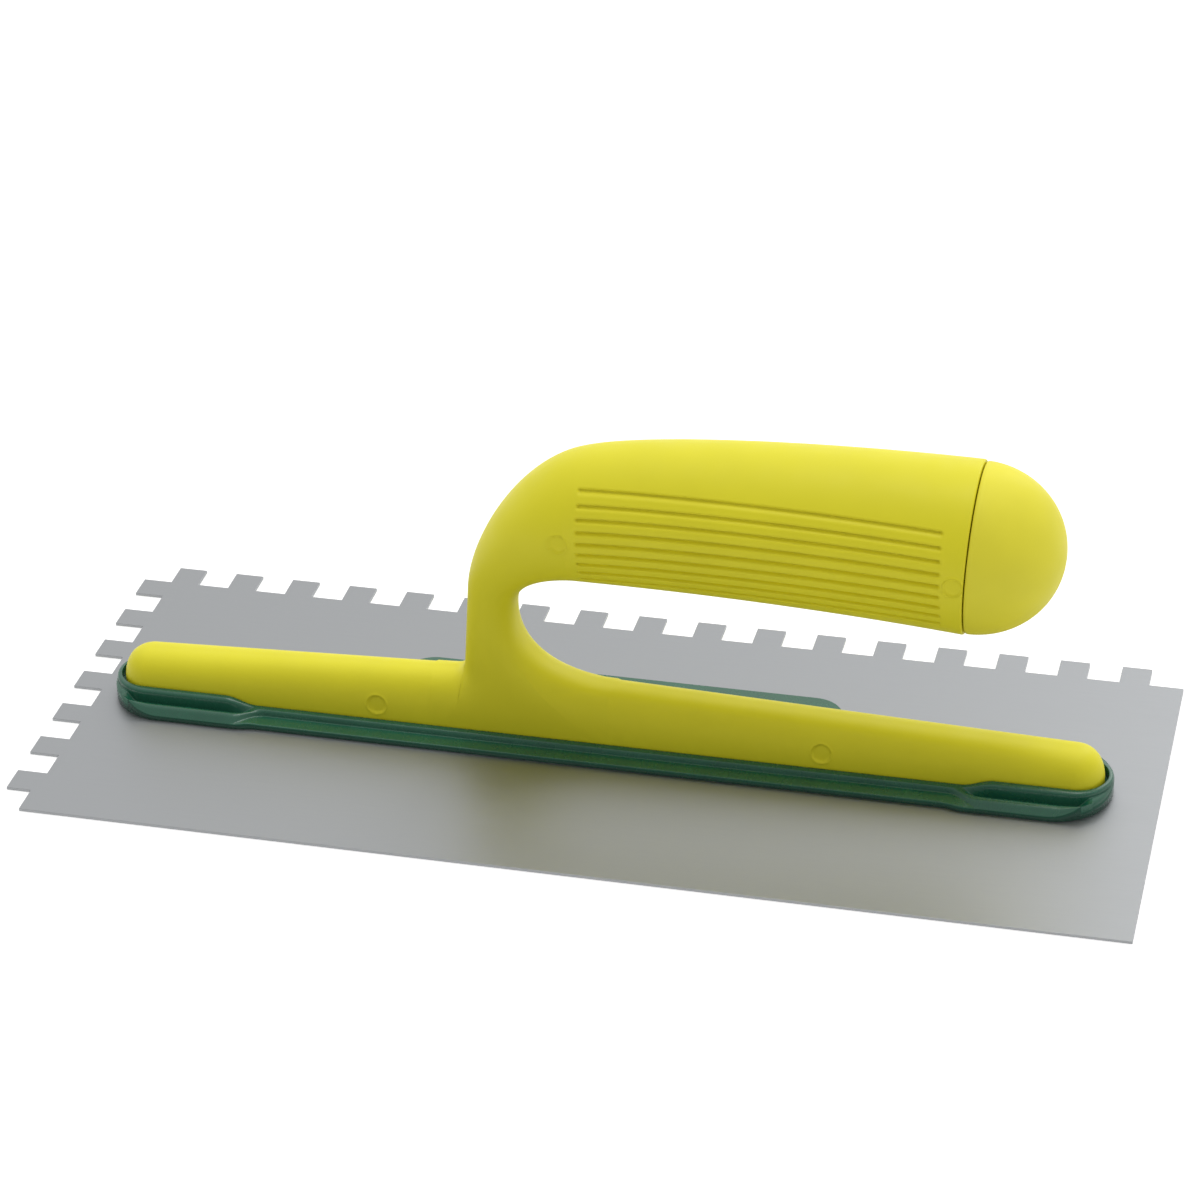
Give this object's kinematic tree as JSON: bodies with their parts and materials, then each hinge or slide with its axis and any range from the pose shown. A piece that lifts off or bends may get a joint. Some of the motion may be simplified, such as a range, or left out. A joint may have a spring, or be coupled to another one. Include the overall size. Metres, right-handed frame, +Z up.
{
  "type": "notched trowel",
  "caption": "Rectangular blade with square notches along one long and one short edge, on a moulded base, with an open overhanging grip closed by a dome.",
  "frame": {"origin": "centre of the blade's flat underside", "axes": "+X along the blade towards the grip's open end and its dome, +Y towards the notched long edge, +Z up from the blade to the grip"},
  "size_m": [0.28, 0.12, 0.0883],
  "materials": {
    "stainless_blade": "satin cold-rolled stainless sheet",
    "green_base": "glossy injection-moulded plastic",
    "yellow_handle": "matte injection-moulded plastic",
    "yellow_cap": "matte injection-moulded plastic, slightly mottled",
    "rivet": "set and ground flush",
    "screw": "zinc-plated"
  },
  "bodies": {
    "root": {"blade": "stainless_blade", "base": "green_base", "handle": "yellow_handle", "end_cap": "yellow_cap", "blade_rivets": "rivet", "handle_screws": "screw"}
  },
  "joints": []
}
